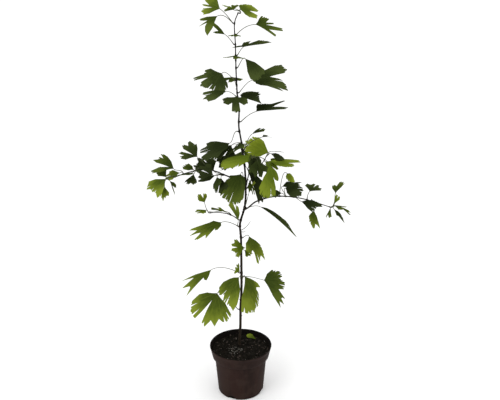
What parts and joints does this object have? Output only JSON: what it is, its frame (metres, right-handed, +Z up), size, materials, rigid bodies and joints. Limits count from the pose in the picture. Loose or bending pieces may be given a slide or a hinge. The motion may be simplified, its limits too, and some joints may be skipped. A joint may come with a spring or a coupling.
{
  "type": "potted ginkgo sapling",
  "caption": "Young ginkgo tree in a round dark nursery pot, with a slim swaying stem, side boughs and fan-shaped leaves on long stalks.",
  "frame": {"origin": "middle of the pot's flat underside, on the pot's axis", "axes": "+Z up along the pot's axis, +X to the tree's right and -Y its front"},
  "size_m": [0.5752, 0.3203, 1.1661],
  "materials": {
    "pot_plastic": "satin",
    "compost": "matte",
    "bark": "matte",
    "leaf_green": "satin"
  },
  "bodies": {
    "root": {"pot": "pot_plastic", "soil": "compost", "stem": "bark", "left_bough": "bark", "right_bough": "bark", "lower_left_bough": "bark", "front_bough": "bark", "back_bough": "bark", "rear_bough": "bark", "leader_spray": "leaf_green", "top_left_spray": "leaf_green", "top_right_spray": "leaf_green", "upper_back_left_spray": "leaf_green", "upper_back_right_spray": "leaf_green", "upper_front_spray": "leaf_green", "crown_front_right_spray": "leaf_green", "crown_left_spray": "leaf_green", "crown_rear_spray": "leaf_green", "crown_right_spray": "leaf_green", "crown_front_spray": "leaf_green", "crown_back_spray": "leaf_green", "crown_low_right_spray": "leaf_green", "mid_left_spray": "leaf_green", "mid_front_spray": "leaf_green", "mid_back_spray": "leaf_green", "hanging_back_spray": "leaf_green", "hanging_front_spray": "leaf_green", "node_front_spray": "leaf_green", "node_back_spray": "leaf_green", "low_left_spray": "leaf_green", "low_right_spray": "leaf_green", "low_small_spray": "leaf_green", "foot_left_spray": "leaf_green", "foot_front_spray": "leaf_green", "foot_back_spray": "leaf_green", "lowest_spray": "leaf_green", "left_bough_foot_spray": "leaf_green", "left_bough_middle_spray": "leaf_green", "left_bough_bend_spray": "leaf_green", "left_bough_outer_spray": "leaf_green", "left_bough_end_spray": "leaf_green", "left_bough_tip_spray": "leaf_green", "right_bough_foot_spray": "leaf_green", "right_bough_front_spray": "leaf_green", "right_bough_middle_spray": "leaf_green", "right_bough_upper_spray": "leaf_green", "right_bough_outer_spray": "leaf_green", "right_bough_tip_spray": "leaf_green", "lower_left_bough_foot_spray": "leaf_green", "lower_left_bough_tip_spray": "leaf_green", "front_bough_tip_spray": "leaf_green", "back_bough_middle_spray": "leaf_green", "rear_bough_tip_spray": "leaf_green", "back_bough_tip_spray": "leaf_green"}
  },
  "joints": []
}
